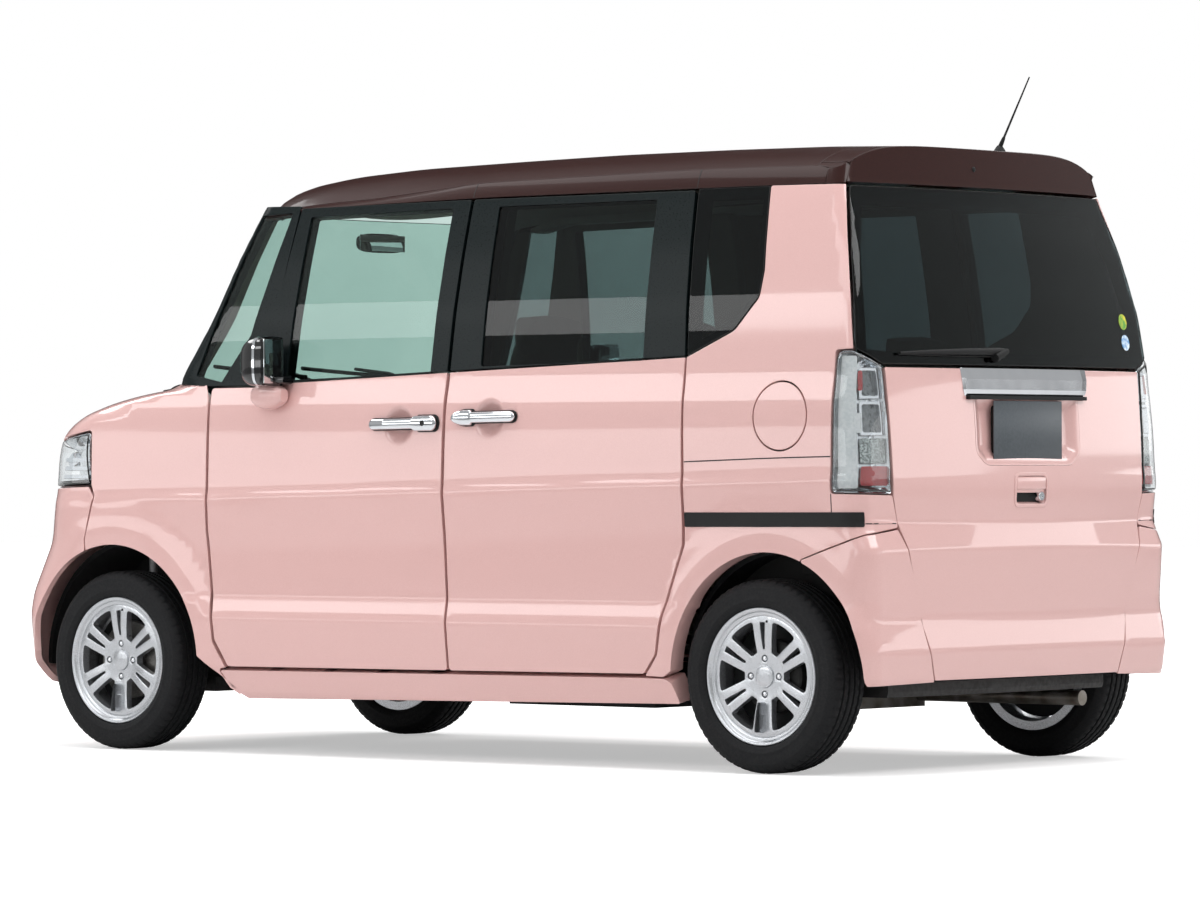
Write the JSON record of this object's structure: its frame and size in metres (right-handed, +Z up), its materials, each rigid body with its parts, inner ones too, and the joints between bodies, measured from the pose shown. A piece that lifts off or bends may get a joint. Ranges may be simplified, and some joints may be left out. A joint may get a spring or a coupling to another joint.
{
  "type": "tall kei wagon",
  "caption": "Tall box-shaped kei wagon with hinged front doors, sliding rear doors, a full-width glass tailgate, steered front wheels and a furnished cabin.",
  "frame": {"origin": "on the ground, midway between the bumpers and between the sides", "axes": "+X forward along the car, +Y to the car's left, +Z up"},
  "size_m": [3.3946, 1.676, 1.9813],
  "materials": {
    "pink_paint": "light pink pearl paint under clear coat",
    "brown_paint": "dark brown mica paint under clear coat",
    "clear_glass": "clear, slightly green",
    "privacy_glass": "dark tinted",
    "tyre": "matt black rubber",
    "alloy": "silver lacquered alloy",
    "lamp_lens": "clear lens over chrome reflectors",
    "chrome_trim": "polished",
    "plate": "plain grey, blank",
    "black_steel": "black underbody coat",
    "exhaust_steel": "dull heat-stained steel",
    "engine_metal": "rough cast",
    "seat_fabric": "woven beige cloth",
    "black_plastic": "grained black"
  },
  "bodies": {
    "body": {"wheel_housings": "black_plastic", "body_side_right": "pink_paint", "body_side_left": "pink_paint", "sliding_door_left": "pink_paint", "sliding_door_right": "pink_paint", "sliding_door_glass": "privacy_glass", "front_quarter_glass": "clear_glass", "rear_quarter_glass": "privacy_glass", "front_fender_left": "pink_paint", "front_fender_right": "pink_paint", "headlamps": "lamp_lens", "tail_lamps": "lamp_lens", "rear_bumper": "pink_paint", "roof": "brown_paint", "windscreen": "clear_glass", "front_bumper": "pink_paint", "cowl": "black_plastic", "floor_pan": "black_steel", "front_suspension": "black_steel", "rear_axle": "black_steel", "engine": "engine_metal", "fuel_tank": "black_plastic", "exhaust": "exhaust_steel", "front_seats": "seat_fabric", "rear_seat": "seat_fabric", "dashboard": "black_plastic", "interior_mirror": "black_plastic"},
    "front_door_left": {"front_door_left": "pink_paint", "front_door_glass_left": "clear_glass", "door_mirror_left": "brown_paint"},
    "front_door_right": {"front_door_right": "pink_paint", "front_door_glass_right": "clear_glass", "door_mirror_right": "brown_paint"},
    "tailgate": {"tailgate": "pink_paint", "tailgate_glass": "privacy_glass", "tailgate_garnish": "chrome_trim", "number_plate": "plate", "rear_wiper": "black_plastic", "antenna": "black_plastic"},
    "bonnet": {"bonnet": "pink_paint"},
    "fuel_flap": {"fuel_flap": "pink_paint"},
    "steering_wheel": {"steering_wheel": "black_plastic"},
    "knuckle_left": {"steering_knuckle_left": "black_steel"},
    "knuckle_right": {"steering_knuckle_right": "black_steel"},
    "wheel_front_left": {"front_left_tyre": "tyre", "front_left_wheel": "alloy"},
    "wheel_front_right": {"front_right_tyre": "tyre", "front_right_wheel": "alloy"},
    "wheel_rear_left": {"rear_left_tyre": "tyre", "rear_left_wheel": "alloy"},
    "wheel_rear_right": {"rear_right_tyre": "tyre", "rear_right_wheel": "alloy"}
  },
  "joints": [
    {"name": "front_door_left_hinge", "type": "hinge", "parent": "body", "child": "front_door_left", "pos_m": [0.8, 0.728, 0.7], "axis": [0, 0, -1], "range_deg": [0, 68]},
    {"name": "front_door_right_hinge", "type": "hinge", "parent": "body", "child": "front_door_right", "pos_m": [0.8, -0.728, 0.7], "axis": [0, 0, 1], "range_deg": [0, 68]},
    {"name": "tailgate_hinge", "type": "hinge", "parent": "body", "child": "tailgate", "pos_m": [-1.3965, 0, 1.776], "axis": [0, 1, 0], "range_deg": [0, 80]},
    {"name": "bonnet_hinge", "type": "hinge", "parent": "body", "child": "bonnet", "pos_m": [1.118, 0, 1.12], "axis": [0, -1, 0], "range_deg": [0, 50]},
    {"name": "fuel_flap_hinge", "type": "hinge", "parent": "body", "child": "fuel_flap", "pos_m": [-1.272, 0.735, 1.003], "axis": [0, 0, -1], "range_deg": [0, 85]},
    {"name": "steering_wheel_turn", "type": "hinge", "parent": "body", "child": "steering_wheel", "pos_m": [0.56, -0.315, 0.985], "axis": [-0.9135, 0, 0.4067], "range_deg": [-525, 525]},
    {"name": "steer_left", "type": "hinge", "parent": "body", "child": "knuckle_left", "pos_m": [1.246, 0.545, 0.274], "axis": [0, 0, 1], "range_deg": [-35, 35]},
    {"name": "steer_right", "type": "hinge", "parent": "body", "child": "knuckle_right", "pos_m": [1.246, -0.545, 0.274], "axis": [0, 0, 1], "range_deg": [-35, 35]},
    {"name": "front_left_wheel_spin", "type": "hinge", "parent": "knuckle_left", "child": "wheel_front_left", "pos_m": [1.246, 0.645, 0.274], "axis": [0, 1, 0], "continuous": true},
    {"name": "front_right_wheel_spin", "type": "hinge", "parent": "knuckle_right", "child": "wheel_front_right", "pos_m": [1.246, -0.645, 0.274], "axis": [0, 1, 0], "continuous": true},
    {"name": "rear_left_wheel_spin", "type": "hinge", "parent": "body", "child": "wheel_rear_left", "pos_m": [-1.274, 0.645, 0.274], "axis": [0, 1, 0], "continuous": true},
    {"name": "rear_right_wheel_spin", "type": "hinge", "parent": "body", "child": "wheel_rear_right", "pos_m": [-1.274, -0.645, 0.274], "axis": [0, 1, 0], "continuous": true}
  ],
  "couplings": [
    {"joint": "steer_left", "follows": "steering_wheel_turn", "ratio": 0.0666},
    {"joint": "steer_right", "follows": "steering_wheel_turn", "ratio": 0.0666}
  ]
}
